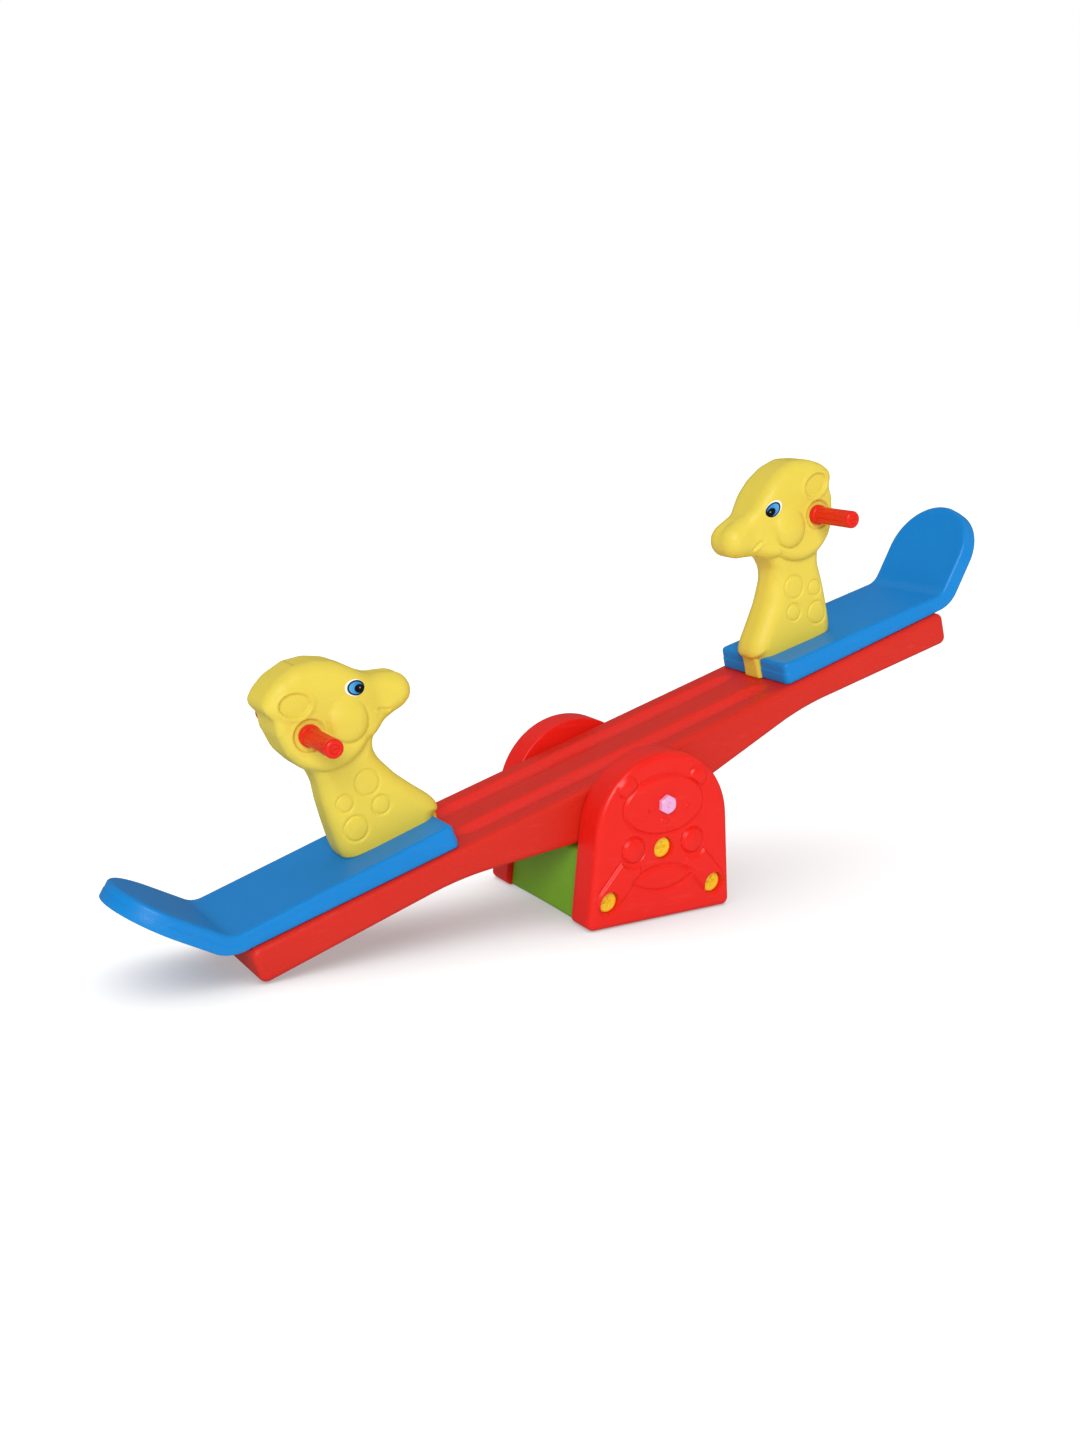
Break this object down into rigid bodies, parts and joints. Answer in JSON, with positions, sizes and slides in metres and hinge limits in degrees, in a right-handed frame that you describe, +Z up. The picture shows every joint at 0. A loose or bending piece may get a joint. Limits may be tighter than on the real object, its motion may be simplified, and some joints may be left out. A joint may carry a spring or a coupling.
{
  "type": "seesaw",
  "caption": "Toddler seesaw: a moulded rocking beam on a low base, with a backrest seat and a giraffe-head handle at each end.",
  "frame": {"origin": "on the floor under the middle of the axle, in the flat underside of the green box", "axes": "+X along the beam towards its raised end, +Y along the axle towards the rear panel, +Z up"},
  "size_m": [1.5456, 0.328, 0.6888],
  "materials": {
    "panel_red": "semi-gloss moulded red polyethylene",
    "beam_red": "lightly stippled red polyethylene",
    "box_green": "satin green polyethylene",
    "screw_yellow": "moulded yellow nylon",
    "cap_pink": "moulded pink nylon",
    "bush_white": "natural acetal",
    "steel": "zinc-plated steel",
    "seat_blue": "semi-gloss blue polyethylene",
    "head_yellow": "lightly stippled yellow polyethylene",
    "eye_print": "printed vinyl disc",
    "grip_red": "moulded red grip"
  },
  "bodies": {
    "base": {"side_panel_front": "panel_red", "side_panel_rear": "panel_red", "center_box": "box_green", "panel_screws_front": "screw_yellow", "panel_screws_rear": "screw_yellow", "axle_rod": "steel", "axle_cap_front": "cap_pink", "axle_cap_rear": "cap_pink", "axle_washers": "bush_white"},
    "rocker": {"beam": "beam_red", "pivot_sleeve": "bush_white", "seat_left": "seat_blue", "seat_right": "seat_blue", "head_left": "head_yellow", "head_right": "head_yellow", "eyes_left": "eye_print", "eyes_right": "eye_print", "handle_rod_left": "steel", "handle_rod_right": "steel", "grip_front_left": "grip_red", "grip_rear_left": "grip_red", "grip_front_right": "grip_red", "grip_rear_right": "grip_red", "grip_plugs_left": "grip_red", "grip_plugs_right": "grip_red", "seat_bolts_left": "steel", "seat_bolts_right": "steel", "head_bolts_left": "steel", "head_bolts_right": "steel"}
  },
  "joints": [
    {"name": "beam_rock", "type": "hinge", "parent": "base", "child": "rocker", "pos_m": [0, 0, 0.1865], "axis": [0, 1, 0], "range_deg": [0, 32.98]}
  ]
}
